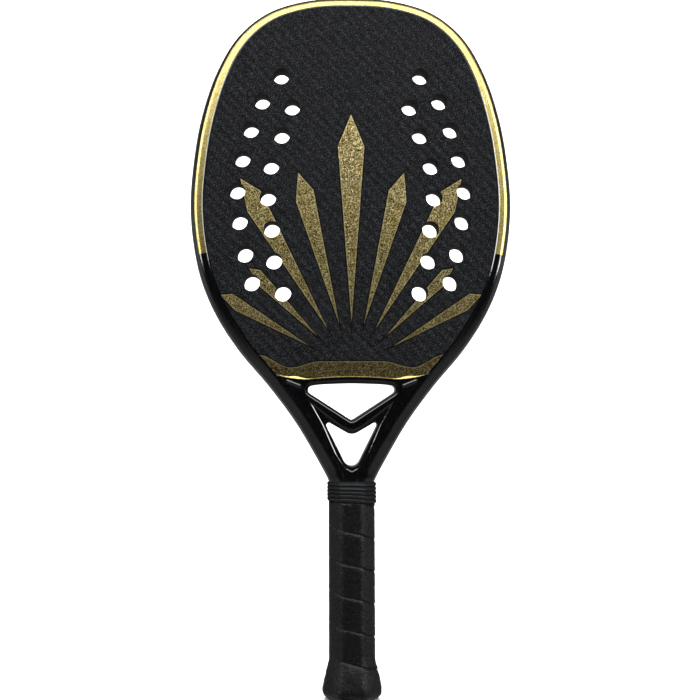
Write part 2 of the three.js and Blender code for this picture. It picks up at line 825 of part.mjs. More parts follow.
const finishes = {
  gloss: { color: 0x0b0c0e, roughness: 0.22, metalness: 0 },
  face: { color: 0x17181b, roughness: 0.72, metalness: 0 },
  core: { color: 0x1a1a1c, roughness: 0.9, metalness: 0 },
  foam: { color: 0x8c8672, roughness: 0.95, metalness: 0 },
  pallet: { color: 0x3a3a38, roughness: 0.8, metalness: 0 },
  cap: { color: 0x111111, roughness: 0.55, metalness: 0 },
  tape: { color: 0x1c1d1c, roughness: 0.6, metalness: 0 },
  finishing: { color: 0x0a0a0a, roughness: 0.45, metalness: 0 },
  rubber: { color: 0x1b1d1f, roughness: 0.65, metalness: 0 },
};

function named(name, geometry, finish) {
  const mesh = new THREE.Mesh(geometry, new THREE.MeshStandardMaterial(finishes[finish]));
  mesh.name = name;
  return mesh;
}

const pockets = facePockets();
const racket = new THREE.Group();
racket.add(
  named('head_frame', makeHeadFrame(pockets), 'gloss'),
  named('eva_core', makeCore(), 'core'),
  named('front_face', makeFace(-1), 'face'),
  named('back_face', makeFace(1), 'face'),
  named('throat_yoke', makeYoke(pockets), 'gloss'),
  named('v_brace', makeBrace(), 'gloss'),
  named('neck_wedge', makeWedge(), 'gloss'),
  named('left_shaft_foam', makeShaftFoam(-1), 'foam'),
  named('right_shaft_foam', makeShaftFoam(1), 'foam'),
  named('front_pallet', makePallet(-1), 'pallet'),
  named('back_pallet', makePallet(1), 'pallet'),
  named('butt_cap', makeButtCap(), 'cap'),
  named('grip_tape', makeGripTape(), 'tape'),
  named('finishing_tape', makeFinishingTape(), 'finishing'),
  named('grip_collar', makeCollar(), 'rubber'),
);

export default racket;
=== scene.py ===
# %% [markdown]
# # Beach tennis racket
# A beach tennis racket has no strings. A hollow carbon tube is bent into the hoop, and its two ends run
# down through the throat into the handle. Two thin laminates close a foam board inside the hoop, and
# the whole head is drilled through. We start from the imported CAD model, which fixes every size, and
# dress it with finer shapes and real surfaces. All lengths below are in millimetres.

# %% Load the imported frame
import math

import bmesh
import bpy
import numpy as np
from mathutils import Matrix, Vector, geometry


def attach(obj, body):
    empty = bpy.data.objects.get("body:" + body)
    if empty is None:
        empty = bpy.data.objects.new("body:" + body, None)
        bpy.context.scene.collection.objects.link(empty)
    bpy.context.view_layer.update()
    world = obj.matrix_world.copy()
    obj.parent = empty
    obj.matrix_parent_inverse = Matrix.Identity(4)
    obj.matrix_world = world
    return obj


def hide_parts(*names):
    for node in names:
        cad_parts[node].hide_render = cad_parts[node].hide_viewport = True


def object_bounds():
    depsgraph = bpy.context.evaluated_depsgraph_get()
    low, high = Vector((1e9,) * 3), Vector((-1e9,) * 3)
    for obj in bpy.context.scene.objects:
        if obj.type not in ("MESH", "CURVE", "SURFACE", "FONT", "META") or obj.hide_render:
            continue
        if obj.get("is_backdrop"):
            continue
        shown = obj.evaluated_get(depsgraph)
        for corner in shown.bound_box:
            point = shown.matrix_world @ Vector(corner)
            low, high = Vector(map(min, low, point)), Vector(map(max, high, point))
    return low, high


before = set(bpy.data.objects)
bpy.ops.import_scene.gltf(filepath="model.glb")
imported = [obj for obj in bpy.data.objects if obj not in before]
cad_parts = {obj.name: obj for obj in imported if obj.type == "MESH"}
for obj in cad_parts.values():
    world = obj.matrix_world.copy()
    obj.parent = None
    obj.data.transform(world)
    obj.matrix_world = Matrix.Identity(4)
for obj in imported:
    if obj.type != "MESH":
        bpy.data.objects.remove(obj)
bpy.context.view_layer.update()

MM = 0.001

# %% [markdown]
# ## The camera
# The photograph was taken from about 0.9 m in front of the face, a little left of the middle and at the
# height of the throat. A fairly long lens keeps the hoop's shape true. Three small turns give the
# camera's axes, so all its numbers stay plain.

# %% Camera at the photograph's viewing angle
camera_data = bpy.data.cameras.new("camera")
camera_data.sensor_width = 36
camera_data.lens = 64.756
camera = bpy.data.objects.new("camera", camera_data)
bpy.context.collection.objects.link(camera)
bpy.context.scene.camera = camera

# Three small turns in radians: a little to the right, a little up, and hardly any roll.
aside, upwards, roll = -0.02636, 0.04183, 0.00273
turn = Matrix.Rotation(aside, 3, "Z") @ Matrix.Rotation(upwards, 3, "X") @ Matrix.Rotation(roll, 3, "Y")
right, forward, up = turn.col
camera_axes = Matrix((right, up, -forward)).transposed().to_4x4()
camera.matrix_world = Matrix.Translation(Vector((-24.6, -899, 209.1)) * MM) @ camera_axes
print("camera looks along", [round(part, 3) for part in forward])

# %% [markdown]
# ## Colours and nodes
# Paint codes are read in sRGB, but a shader works with linear light, so one function turns a code into
# linear colour. Another adds a shader node with its settings and links, so a material reads from top to
# bottom, like a recipe. Map Range takes a value, the range it comes from and the range it goes to.

# %% Small helpers for materials
def linear(code):
    """Linear colour of an sRGB code such as #202124."""
    parts = [int(code[i : i + 2], 16) / 255 for i in (1, 3, 5)]
    return [c / 12.92 if c <= 0.04045 else ((c + 0.055) / 1.055) ** 2.4 for c in parts] + [1.0]


def add(tree, kind, inputs=(), **settings):
    """Adds a node, such as TexNoise, or Math.ADD with its operation.

    Inputs are a list in the node's order, or a dict by name. Each is a number, colour, socket or node.
    """
    kind, _, operation = kind.partition(".")
    node = tree.nodes.new("ShaderNode" + kind)
    if operation:
        node.operation = operation
    for name, value in settings.items():
        setattr(node, name, value)
    for key, value in dict(inputs if isinstance(inputs, dict) else enumerate(inputs)).items():
        if isinstance(value, bpy.types.Node):
            value = value.outputs[0]
        if isinstance(value, bpy.types.NodeSocket):
            tree.links.new(value, node.inputs[key])
        else:
            node.inputs[key].default_value = value
    return node


def new_material(name):
    """An empty material, its tree, and the place on the object in millimetres."""
    material = bpy.data.materials.new(name)
    material.use_nodes = True
    tree = material.node_tree
    tree.nodes.clear()
    place = add(tree, "TexCoord").outputs["Object"]
    return material, tree, add(tree, "VectorMath.SCALE", {0: place, "Scale": 1 / MM})


def finish_material(tree, inputs):
    """Adds the surface shader and its output."""
    add(tree, "OutputMaterial", {"Surface": add(tree, "BsdfPrincipled", inputs)})


print("mid grey #808080 is", round(linear("#808080")[0], 3), "in linear light")

# %% [markdown]
# ## A plain studio
# Product photographs are often made on a sweep of pale paper. The floor curves up into the wall behind,
# so no corner shows. A sheet without thickness is enough: one profile, stretched sideways.

# %% Paper sweep
def placed(name, mesh, material, sharp):
    """Gives a mesh its material and smooth shading, and adds it to the scene."""
    mesh.materials.clear()
    mesh.materials.append(material)
    mesh.shade_smooth()
    mesh.set_sharp_from_angle(angle=math.radians(sharp))
    thing = bpy.data.objects.new(name, mesh)
    bpy.context.collection.objects.link(thing)
    return thing


def mesh_object(name, points, faces, material, sharp=35):
    """A smooth-shaded mesh from points in mm. Edges that turn by more than sharp degrees stay crisp."""
    mesh = bpy.data.meshes.new(name)
    mesh.from_pydata([tuple(point) for point in np.asarray(points, float) * MM], [], faces)
    shape = bmesh.new()
    shape.from_mesh(mesh)
    bmesh.ops.recalc_face_normals(shape, faces=shape.faces)
    shape.to_mesh(mesh)
    shape.free()
    return placed(name, mesh, material, sharp)


# Uncoated paper has no gloss, so it looks soft and even. Fibres gather in faint clouds about 5 mm wide.
paper, tree, place = new_material("white_matte_paper")
fibres = add(tree, "TexNoise", {"Vector": place, "Scale": 0.2, "Detail": 2})
shade = add(tree, "MixRGB", [fibres, linear("#f6f6f5"), linear("#fbfbfa")])
finish_material(tree, {"Base Color": shade, "Roughness": 0.9})

sweep_radius, wall_y, wall_top, front_y, half_width = 700, 2200, 3500, -1500, 3500
bend_steps = 16
profile = [(front_y, 0)]
for step in range(bend_steps + 1):
    angle = math.pi / 2 * step / bend_steps
    y = wall_y - sweep_radius * (1 - math.sin(angle))
    profile.append((y, sweep_radius * (1 - math.cos(angle))))
profile.append((wall_y, wall_top))
sheet_points = [(x, y, z) for y, z in profile for x in (-half_width, half_width)]
sheet_faces = [(2 * i, 2 * i + 1, 2 * i + 3, 2 * i + 2) for i in range(len(profile) - 1)]
sweep = mesh_object("paper_sweep", sheet_points, sheet_faces, paper)
sweep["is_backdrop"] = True
print("paper sweep of", len(sheet_faces), "strips")

# %% [markdown]
# ## Light
# One large soft box above the camera lights the face and brings out the top of the gold edge. Two tall
# boxes at the sides draw the grey lines along the shafts. Black lacquer mirrors its whole surroundings,
# so the bright paper and its lamps stay out of the reflections. The sky is white to the camera and a dim
# room to every other ray, with a soft glow from the table, the wall behind and each side.

# %% Soft boxes
def soft_box(name, at, aim, width, height, power):
    """A soft box at a place in mm, turned to a point, with its sides in mm and its power in watts."""
    light = bpy.data.lights.new(name, "AREA")
    light.shape = "RECTANGLE"
    light.size, light.size_y, light.energy = width * MM, height * MM, power
    box = bpy.data.objects.new(name, light)
    box.location = Vector(at) * MM
    box.rotation_mode = "QUATERNION"
    box.rotation_quaternion = (Vector(aim) - Vector(at)).to_track_quat("-Z", "Y")
    bpy.context.collection.objects.link(box)
    return box


soft_box("top_box", (0, -830, 1230), (0, 0, 420), 2100, 900, 19)
soft_box("left_box", (-1150, -850, 720), (0, 0, 280), 200, 1000, 5.6)
soft_box("right_box", (1150, -850, 620), (0, 0, 280), 260, 900, 8.6)
wall_box = soft_box("wall_box", (0, 900, 2400), (0, 2000, 300), 2400, 600, 110)
floor_box = soft_box("floor_box", (0, 500, 2600), (0, 300, 0), 2400, 1200, 60)
for thing in (sweep, wall_box, floor_box):
    thing.visible_glossy = False

# %% Sky
world = bpy.data.worlds.new("studio_sky")
world.use_nodes = True
sky = world.node_tree
sky.nodes.clear()
bearing = add(sky, "SeparateXYZ", [add(sky, "TexCoord").outputs["Generated"]])
sideways = add(sky, "Math.ABSOLUTE", [bearing])
# Each glow starts and ends at a share of the direction, and goes from a faint to a full strength.
glows = []
for share, start, end, faint, full in (
    (bearing.outputs["Z"], -0.12, -0.55, 0.015, 0.23),
    (bearing.outputs["Y"], 0.1, 0.5, 0.0, 0.2),
    (sideways, 0.9, 0.98, 0.0, 0.36),
):
    span = [share, start, end, faint, full]
    glows.append(add(sky, "MapRange", span, interpolation_type="SMOOTHSTEP"))
table_and_wall = add(sky, "Math.ADD", glows[:2])
room = add(sky, "Math.ADD", [table_and_wall, glows[2]])
seen = add(sky, "LightPath").outputs["Is Camera Ray"]
strength = add(sky, "MapRange", [seen, 0, 1, room, 0.95])
background = add(sky, "Background", {"Color": linear("#ffffff"), "Strength": strength})
add(sky, "OutputWorld", {"Surface": background})
bpy.context.scene.world = world
bpy.context.scene.view_settings.view_transform = "Standard"
print("the sky has", len(glows), "glows")

# %% [markdown]
# ## The line of the frame
# Everything in the head hangs on one curve: the outer edge of the tube, from the foot of the left shaft
# over the tip to the foot of the right one. A few points give its character, flat at the tip, widest
# near the middle and drawn in to the throat. A centripetal spline joins them without loops or bumps.

# %% Edge curve
bond_gap = 0.3
hoop_deep = 11  # half the depth of the hoop
neck_top_z, neck_foot_z, shaft_foot_z, overall = 153.4, 140.0, 2.8, 500.0
neck_top_x, tube_outer_x, half_head = 16.35, 11.65, 114.8
# Each point is a share of the way out from the neck to the widest line, and of the height of the head.
outline_shares = [
    (0.1476, 0.9945), (0.4368, 0.9688), (0.656, 0.9181), (0.8134, 0.8422), (0.9277, 0.7415),
    (0.9837, 0.6414), (1, 0.5666), (0.9802, 0.4919), (0.9265, 0.4175), (0.8193, 0.343),
    (0.6525, 0.2686), (0.4333, 0.1945), (0.2397, 0.1203), (0.0858, 0.0465), (0.0123, 0.0081),
]
# The neck draws in from its top to the straight shafts: shares of its width and of the way down.
neck_shares = [(1, 0), (0.59, 0.18), (0.27, 0.37), (0.1, 0.63), (0, 1), (0, 2)]


def mix(low, high, share):
    """The value that lies a share of the way from low to high."""
    return low + (high - low) * share


def spline(points, steps=24):
    """Dense points of a centripetal Catmull-Rom spline."""
    points = np.asarray(points, float)
    padded = np.vstack([2 * points[0] - points[1], points, 2 * points[-1] - points[-2]])
    rows = []
    for p0, p1, p2, p3 in zip(padded, padded[1:], padded[2:], padded[3:]):
        d0, d1, d2 = (math.sqrt(np.linalg.norm(b - a)) for a, b in ((p0, p1), (p1, p2), (p2, p3)))
        t1 = ((p1 - p0) / d0 - (p2 - p0) / (d0 + d1) + (p2 - p1) / d1) * d1
        t2 = ((p2 - p1) / d1 - (p3 - p1) / (d1 + d2) + (p3 - p2) / d2) * d1
        for t in np.arange(steps) / steps:
            a, b = 2 * p1 - 2 * p2 + t1 + t2, -3 * p1 + 3 * p2 - 2 * t1 - t2
            rows.append(((a * t + b) * t + t1) * t + p1)
    return np.array(rows + [points[-1]])


def lengths_along(points):
    """Distance of each point from the first one, along the line."""
    return np.concatenate([[0], np.cumsum(np.linalg.norm(np.diff(points, axis=0), axis=1))])


right_side = [(mix(neck_top_x, half_head, x), mix(neck_top_z, overall, z)) for x, z in outline_shares]
right_side += [(mix(tube_outer_x, neck_top_x, x), mix(neck_top_z, neck_foot_z, z)) for x, z in neck_shares]
left_side = [(-x, z) for x, z in reversed(right_side)]
edge_line = spline(left_side + [(0, overall)] + right_side)
edge_line = np.vstack([(-tube_outer_x, shaft_foot_z), edge_line, (tube_outer_x, shaft_foot_z)])
run = lengths_along(edge_line)
print("edge curve is", round(run[-1]), "mm long")


# %% Places along the edge
def edge_at(distances):
    """Points of the edge and the unit directions that lead into the tube, at distances along it."""
    behind, spots, ahead = (
        np.stack([np.interp(distances + step, run, edge_line[:, i]) for i in (0, 1)], axis=1)
        for step in (-1, 0, 1)
    )
    along = ahead - behind
    along /= np.linalg.norm(along, axis=1)[:, None]
    return spots, np.stack([along[:, 1], -along[:, 0]], axis=1)


def half_width_at(z, distance):
    """Half width, at a height, of the line that runs a given distance inside the edge."""
    spots, inward = edge_at(np.linspace(run[-1] / 2, run[-1], 900))
    line = spots + inward * distance
    return np.interp(-z, -line[:, 1], line[:, 0])


print("the neck is", round(2 * float(half_width_at(neck_top_z, 0.0)), 1), "mm wide")

# %% [markdown]
# ## Lacquer and gold
# The real frame is carbon fibre under black lacquer and clear coat. Its edge strip carries a lacquer full
# of fine gold flakes, which lie at slightly different angles, so each one catches the light on its own.
# Small cells that tilt the normal do the same, with no texture files; their tone shift is part colour, part
# painted glint.

# %% Clear-coated black carbon
# Sprayed clear coat gives the eye a deep black with sharp lines of light that waver a little.
coat, tree, place = new_material("black_clear_coat_on_carbon")
# Orange peel: the slow ripple of sprayed clear coat, with waves about 2 mm long.
peel = add(tree, "TexNoise", {"Vector": place, "Scale": 0.45, "Detail": 1})
# Dust and fine rubbing, which soften the gloss in patches.
wear = add(tree, "TexNoise", {"Vector": place, "Scale": 1.6, "Detail": 6, "Roughness": 0.7})
gloss = add(tree, "MapRange", [wear, 0.35, 0.7, 0.1, 0.14])
tone = add(tree, "MixRGB", [wear, linear("#020203"), linear("#060708")])
ripple = add(tree, "Bump", {"Height": peel, "Distance": 0.00006, "Strength": 0.5})
finish_material(tree, {
    "Base Color": tone, "Roughness": gloss, "Normal": ripple,
    "Coat Weight": 1.0, "Coat Roughness": 0.07, "Coat Normal": ripple,
})
print("clear coat has", len(tree.nodes), "nodes")

# %% Gold flake lacquer
def flake_nodes(tree, place, tones, spread):
    """Colour and tilted normal of gold flake lacquer."""
    # Real flakes are 0.1 to 0.3 mm wide. They are drawn 0.6 mm wide, so that they still show from afar.
    flakes = add(tree, "TexVoronoi", {"Vector": place, "Scale": 1.7})
    # The tone shifts from flake to flake: partly the flakes' own colour, partly painted glint and shade.
    colour = add(tree, "ValToRGB", [flakes.outputs["Color"]])
    ramp = colour.color_ramp
    ramp.elements[0].position, ramp.elements[0].color = 0.25, linear(tones[0])
    ramp.elements[1].position, ramp.elements[1].color = 0.8, linear(tones[2])
    ramp.elements.new(0.52).color = linear(tones[1])
    lean = add(tree, "VectorMath.SUBTRACT", [flakes.outputs["Color"], (0.5, 0.5, 0.5)])
    lean = add(tree, "VectorMath.SCALE", {0: lean, "Scale": spread})
    normal = add(tree, "NewGeometry").outputs["Normal"]
    leaning = add(tree, "VectorMath.ADD", [normal, lean])
    tilt = add(tree, "VectorMath.NORMALIZE", [leaning])
    return colour, tilt


# Flakes under a thin clear film glitter softly, where a polished metal would mirror.
gold, tree, place = new_material("gold_flake_lacquer")
colour, tilt = flake_nodes(tree, place, ("#b09c55", "#c9b56c", "#e6d596"), 0.07)
finish_material(tree, {
    "Base Color": colour, "Metallic": 1.0, "Roughness": 0.3, "Normal": tilt,
    "Coat Weight": 0.15, "Coat Roughness": 0.08,
})
print("gold lacquer has", len(tree.nodes), "nodes")

# %% [markdown]
# ## Face laminate
# The twill is drawn from whole numbers. Each tow of fibres is a stripe, warp stripes run up and weft
# stripes run across, and at each crossing the one on top changes every two steps. That gives the
# diagonal ribs. Over it lies a fan of gold rays, an old poster motif, and a gold band at the foot.

# %% Twill and grit
# Grit under black paint makes the face a matte charcoal with a fine sparkle, and all but hides the twill.
face_coat, tree, place = new_material("gritty_twill_laminate_with_gold_print")
axes = add(tree, "SeparateXYZ", [place])
across, height = axes.outputs["X"], axes.outputs["Z"]

tow = 2.0  # a real 3K tow is about 2 mm wide
column = add(tree, "Math.DIVIDE", [across, tow])
row = add(tree, "Math.DIVIDE", [height, tow])
warp = add(tree, "Math.FLOOR", [column])
weft = add(tree, "Math.FLOOR", [row])
crossing = add(tree, "Math.ADD", [warp, weft])
turn_count = add(tree, "Math.FLOORED_MODULO", [crossing, 4])
warp_on_top = add(tree, "Math.LESS_THAN", [turn_count, 1.5])
weave_tone = add(tree, "MixRGB", [warp_on_top, linear("#020303"), linear("#050607")])
# White grit under black paint: grains about 0.3 mm wide, drawn 0.6 mm apart so that they show.
grit = add(tree, "TexVoronoi", {"Vector": place, "Scale": 1.7})
speck = add(tree, "MapRange", [grit.outputs["Distance"], 0.15, 0.6, 1, 0])
bright = add(tree, "MapRange", [grit.outputs["Color"], 0.28, 0.95])
# The paint sinks a little over each weft tow, so the grit looks dimmer there and the twill shows.
through = add(tree, "MapRange", [warp_on_top, 0, 1, 0.6, 1.0])
dimmed = add(tree, "Math.MULTIPLY", [bright, through])
grit_share = add(tree, "Math.MULTIPLY", [speck, dimmed])
black_face = add(tree, "MixRGB", [grit_share, weave_tone, linear("#676a71")])
print("twill and grit:", len(tree.nodes), "nodes")

# %% Fan of gold rays
# Rays from one centre, one every fifteen degrees, long and short by turns, with pointed outer ends.
fan_z, ray_step, ray_foot, outermost_ray = 232.0, math.radians(15), 34.0, 4.5
flat_reach, upright_reach, shortening = 82.0, 100.0, -30.0
tip_taper, foot_taper = 0.42, 0.075
rise = add(tree, "Math.SUBTRACT", [height, fan_z])
rise_squared = add(tree, "Math.MULTIPLY", [rise, rise])
radius_squared = add(tree, "Math.MULTIPLY_ADD", [across, across, rise_squared])
radius = add(tree, "Math.SQRT", [radius_squared])
angle = add(tree, "Math.ARCTAN2", [across, rise])
steps_away = add(tree, "Math.DIVIDE", [angle, ray_step])
ray = add(tree, "Math.ROUND", [steps_away])
turned = add(tree, "Math.MULTIPLY_ADD", [ray, -ray_step, angle])
off_axis = add(tree, "Math.ABSOLUTE", [turned])
off_centre = add(tree, "Math.MULTIPLY", [off_axis, radius])
# Upright rays reach furthest, and every second one is shorter.
upright = add(tree, "Math.COSINE", [angle])
upright_squared = add(tree, "Math.MULTIPLY", [upright, upright])
long_reach = add(tree, "Math.MULTIPLY_ADD", [upright_squared, upright_reach, flat_reach])
every_other = add(tree, "Math.FLOORED_MODULO", [ray, 2])
reach = add(tree, "Math.MULTIPLY_ADD", [every_other, shortening, long_reach])
left_to_tip = add(tree, "Math.SUBTRACT", [reach, radius])
past_foot = add(tree, "Math.SUBTRACT", [radius, ray_foot])
to_tip = add(tree, "Math.MULTIPLY", [left_to_tip, tip_taper])
from_foot = add(tree, "Math.MULTIPLY", [past_foot, foot_taper])
half_ray = add(tree, "Math.MINIMUM", [to_tip, from_foot])
ray_depth = add(tree, "Math.SUBTRACT", [half_ray, off_centre])
# Beyond the outermost ray a steep wall of minus numbers ends the fan.
ray_number = add(tree, "Math.ABSOLUTE", [ray])
beyond = add(tree, "Math.SUBTRACT", [ray_number, outermost_ray])
fan_wall = add(tree, "Math.MULTIPLY", [beyond, -100.0])
ray_depth = add(tree, "Math.MINIMUM", [ray_depth, fan_wall])
print("with the fan:", len(tree.nodes), "nodes")

# %% Gold band and finished face
# The band's upper edge dips between the middle and the tips.
side = add(tree, "Math.ABSOLUTE", [across])
dip = add(tree, "MapRange", [side, 22, 43, 238.3, 234.0], interpolation_type="SMOOTHSTEP")
lift = add(tree, "MapRange", [side, 43, 66, 0, 9], interpolation_type="SMOOTHSTEP")
band_edge = add(tree, "Math.ADD", [dip, lift])
band_depth = add(tree, "Math.SUBTRACT", [band_edge, height])
print_depth = add(tree, "Math.MAXIMUM", [ray_depth, band_depth])

# Along the gold's edges a pale band 0.7 mm wide is a painted highlight, and a black outline 0.9 mm wide sets
# it off from the grit.
printed = add(tree, "Math.GREATER_THAN", [print_depth, 0.0])
outlined = add(tree, "Math.GREATER_THAN", [print_depth, -0.9])
near_rim = add(tree, "Math.LESS_THAN", [print_depth, 0.7])
rim = add(tree, "Math.MULTIPLY", [printed, near_rim])
painted_highlight_share = add(tree, "Math.MULTIPLY", [rim, 0.5])
colour, tilt = flake_nodes(tree, place, ("#5c4d22", "#bfa75c", "#fff2bf"), 0.22)
# Towards the foot of the face the print is painted darker: painted shade, as the light from above falls off
# lower down.
painted_foot_shade = add(tree, "MapRange", [height, 226, 285], interpolation_type="SMOOTHSTEP")
unshaded_gold_share = add(tree, "Math.MULTIPLY_ADD", [painted_foot_shade, 0.45, 0.55])
# The dark brown mixed in here is painted shade, not a darker print.
colour = add(tree, "MixRGB", [unshaded_gold_share, linear("#171204"), colour])
# The pale #f0dc9a is the painted edge highlight, mixed in at half strength.
print_with_painted_highlight = add(tree, "MixRGB", [painted_highlight_share, colour, linear("#f0dc9a")])
ground = add(tree, "MixRGB", [outlined, black_face, linear("#060607")])
surface = add(tree, "MixRGB", [printed, ground, print_with_painted_highlight])
rough = add(tree, "MapRange", [printed, 0, 1, 0.5, 0.34])
weave_level = add(tree, "Math.MULTIPLY", [warp_on_top, 0.15])
grit_level = add(tree, "Math.MULTIPLY", [speck, 0.5])
level = add(tree, "Math.ADD", [weave_level, grit_level])
tooth = add(tree, "Bump", {"Height": level, "Distance": 0.00008, "Strength": 0.5, "Normal": tilt})
finish_material(tree, {
    "Base Color": surface, "Metallic": printed, "Roughness": rough,
    "Specular IOR Level": 0.1, "Normal": tooth,
})
print("face material has", len(tree.nodes), "nodes")

# %% [markdown]
# ## The tube
# The mould presses the tube into a D shape. Its outer wall is round, then comes a bevel, then a nearly
# flat band that carries the gold strip. We draw half of that section as a list of points, from the
# outermost line to the window side, and sweep it along the edge curve.

# %% Section of the tube
strip_foot_z, face_foot_z = 312.3, 225.61
# Each row is a distance inwards from the edge and a height over the middle plane. On the hoop a round
# shoulder leads to the strip and its raised inner border. On the shafts a broad bevel takes its place.
wall_rows = [(0, 0), (0.02, 0.9), (0.08, 2.0), (0.25, 3.41), (0.55, 4.75), (0.85, 5.7), (1.21, 6.49)]
hoop_rows = wall_rows + [
    (1.75, 7.35), (2.3, 8.1), (2.85, 8.75), (3.3, 9.22), (3.7, 9.43), (4.2, 9.68), (4.7, 9.9), (5.2, 10.06),
    (5.4, 10.1), (7.9, 10.53), (8.05, 10.56), (8.3, 10.62), (8.5, 10.71), (8.75, 10.84), (9.0, 10.94),
    (9.3, 11.0),
]
shaft_rows = wall_rows + [
    (1.75, 7.3), (2.1, 7.75), (2.4, 8.02), (2.8, 8.27), (3.4, 8.6), (4.3, 9.1), (5.2, 9.6), (6.1, 10.1),
    (6.4, 10.27), (6.8, 10.49), (7.0, 10.6), (7.25, 10.72), (7.6, 10.86), (8.0, 10.95), (8.7, 11.0),
    (9.3, 11.0),
]
flat_shares = [0.02, 0.3, 0.6, 0.88]
# The bevel round every window: distance from the window's wall, and how far it lies under the flat.
bevel_rows = [
    (3.1, 0), (2.85, 0.03), (2.6, 0.12), (2.35, 0.27), (0.8, 1.32), (0.4, 1.78), (0.14, 2.4), (0.04, 2.9),
    (0, 3.4),
]
gold_rows = range(10, 18)

# How the section changes with height. The rows above are drawn for the full rounding and chamfer.
full_rounding, full_chamfer = 9.3, 2.6
heights = [shaft_foot_z, neck_foot_z, neck_top_z, 158.0, 182.0, face_foot_z, 259.61, 410.0, 490.0, overall]
widths = [15.2, 15.2, 15.2, 15.2, 15.2, 15.2, 13.0, 13.0, 13.0, 13.0]
half_depths = [8.0, 8.0, 9.6, 9.825, 11, 11, 11, 11, 11, 11]
roundings = [5.0, 5.0, 8.2, 9.3, 9.3, 9.3, 10.0, 10.0, 8.4, 8.0]
chamfers = [1.2, 1.2, 2.24, 2.6, 2.6, 2.6, 0.6, 0.6, 0.6, 0.6]
# Between these heights the throat's web takes over from the tube, this far inside the edge.
seat_inset, web_low_z, web_high_z = 10.95, 151.0, 226.5
# The faces are let into the tube by their thickness and a hair of a gap.
let_in_deep, let_in_margin = 1.05, 0.6

foot_shares = [(1, 1), (0.84, 0.36), (0.62, 0), (0.5, 0.11), (0.25, 0.38), (0, 0.47)]
foot_rise, foot_corner_x = 3.6, 53.88
foot_points = [(x * foot_corner_x, face_foot_z + z * foot_rise) for x, z in foot_shares]
foot_points += [(-x, z) for x, z in reversed(foot_points[:-1])]
foot_line = spline(foot_points, 8)


def foot_z(x):
    """Height of the face's lower edge."""
    return np.interp(-x, -foot_line[:, 0], foot_line[:, 1])


print("a section has", 2 * (len(hoop_rows) + len(flat_shares) + len(bevel_rows)) - 1, "points")


# %% Ring and skin
def tube_ring(spot, inward):
    """Points of the tube's section at one place of the edge."""
    z = spot[1]
    width, rounding, chamfer = (np.interp(z, heights, row) for row in (widths, roundings, chamfers))
    if web_low_z < z + inward[1] * seat_inset < web_high_z:
        width, chamfer = seat_inset + 0.05, 0.05
    elif z < face_foot_z and abs(inward[0]) > 0.01:
        width = min(width, abs(spot[0] / inward[0]) - 0.15)
    on_hoop = np.interp(z, [205, 290], [0, 1])
    half = []
    for (shaft_u, shaft_y), (hoop_u, hoop_y) in zip(shaft_rows, hoop_rows):
        u = mix(shaft_u, hoop_u, on_hoop) * rounding / full_rounding
        half.append((u, mix(shaft_y, hoop_y, on_hoop)))
    size = chamfer / full_chamfer
    inner = [(mix(rounding, width - bevel_rows[0][0] * size, share), hoop_deep) for share in flat_shares]
    inner += [(width - away * size, hoop_deep - drop * size) for away, drop in bevel_rows]
    for u, y in inner:
        x, height = spot + inward * u
        let_in = height > foot_z(x) + let_in_margin and z > face_foot_z - 30
        half.append((u, y - let_in_deep if let_in else y))
    half = [(u, y * np.interp(z + inward[1] * u, heights, half_depths) / hoop_deep) for u, y in half]
    loop = half + [(u, -y) for u, y in reversed(half[1:])]
    return [(spot[0] + inward[0] * u, y, z + inward[1] * u) for u, y in loop]


def loft(rings, closed=False):
    """Points and faces of a skin over rings with the same number of points."""
    rings = np.asarray(rings, float)
    count, size = rings.shape[:2]
    faces = []
    for i in range(count if closed else count - 1):
        k = (i + 1) % count
        for j in range(size):
            n = (j + 1) % size
            faces.append((i * size + j, i * size + n, k * size + n, k * size + j))
    if not closed:
        faces.append(tuple(range(size)))
        faces.append(tuple(range((count - 1) * size, count * size)))
    return rings.reshape(-1, 3), faces


tip_ring = tube_ring(np.array([0, overall]), np.array([0, -1]))
print("at the tip the tube is", round(2 * max(y for x, y, z in tip_ring), 1), "mm deep")

# %% [markdown]
# ## The swept tube
# The hoop and both shafts are one unbroken moulding, so one loft runs from shaft to shaft. A ring stands
# every two millimetres, and two more stand just where the gold strip ends, to cut it off cleanly.

# %% Sweep the tube
def dress(piece, node, slot, *more):
    """Fits a new piece into the frame in place of its CAD node."""
    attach(piece, "root")
    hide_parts(node, *more)
    return piece


stops = np.arange(0, run[-1], 2.0)
over = edge_line[:, 1] - strip_foot_z
crossings = [run[i] for i in range(len(run) - 1) if over[i] * over[i + 1] < 0]
for spot in crossings:
    stops = stops[np.abs(stops - spot) > 0.7]
stops = np.sort(np.concatenate([stops, crossings, [run[-1]]]))
spots, inward = edge_at(stops)
rings = [tube_ring(spot, into) for spot, into in zip(spots, inward)]
tube = dress(mesh_object("frame_tube", *loft(rings), coat, 40), "head_frame", "frame_composite")
tube.data.materials.append(gold)
ring_size = len(rings[0])
for polygon in tube.data.polygons:
    if len(polygon.vertices) == 4:
        rows = sorted(v % ring_size for v in polygon.vertices)
        row = rows[0] if rows[-1] < ring_size / 2 else ring_size - rows[-1]
        high_enough = min(spots[v // ring_size][1] for v in polygon.vertices) >= strip_foot_z - 0.2
        if row in gold_rows and high_enough:
            polygon.material_index = 1
print("frame tube:", len(tube.data.polygons), "faces")

# %% [markdown]
# ## Faces and core
# The laminates are flat sheets let into the tube, with a hair of a gap round them. A flat curve with
# inner loops is the natural tool here: Blender fills it, thickens it and rounds its rims in one go. The
# same loops drill the foam board.

# %% Drilled sheets
hole_shares = [
    (0.433, 0.8318), (0.551, 0.7796), (0.622, 0.7207), (0.674, 0.6601), (0.706, 0.5941),
    (0.692, 0.5312), (0.658, 0.4642), (0.616, 0.4057), (0.365, 0.7675), (0.43, 0.7089),
    (0.497, 0.6454), (0.516, 0.5802), (0.492, 0.5153), (0.479, 0.4504), (0.424, 0.3846),
]
hole_radius = 5.9


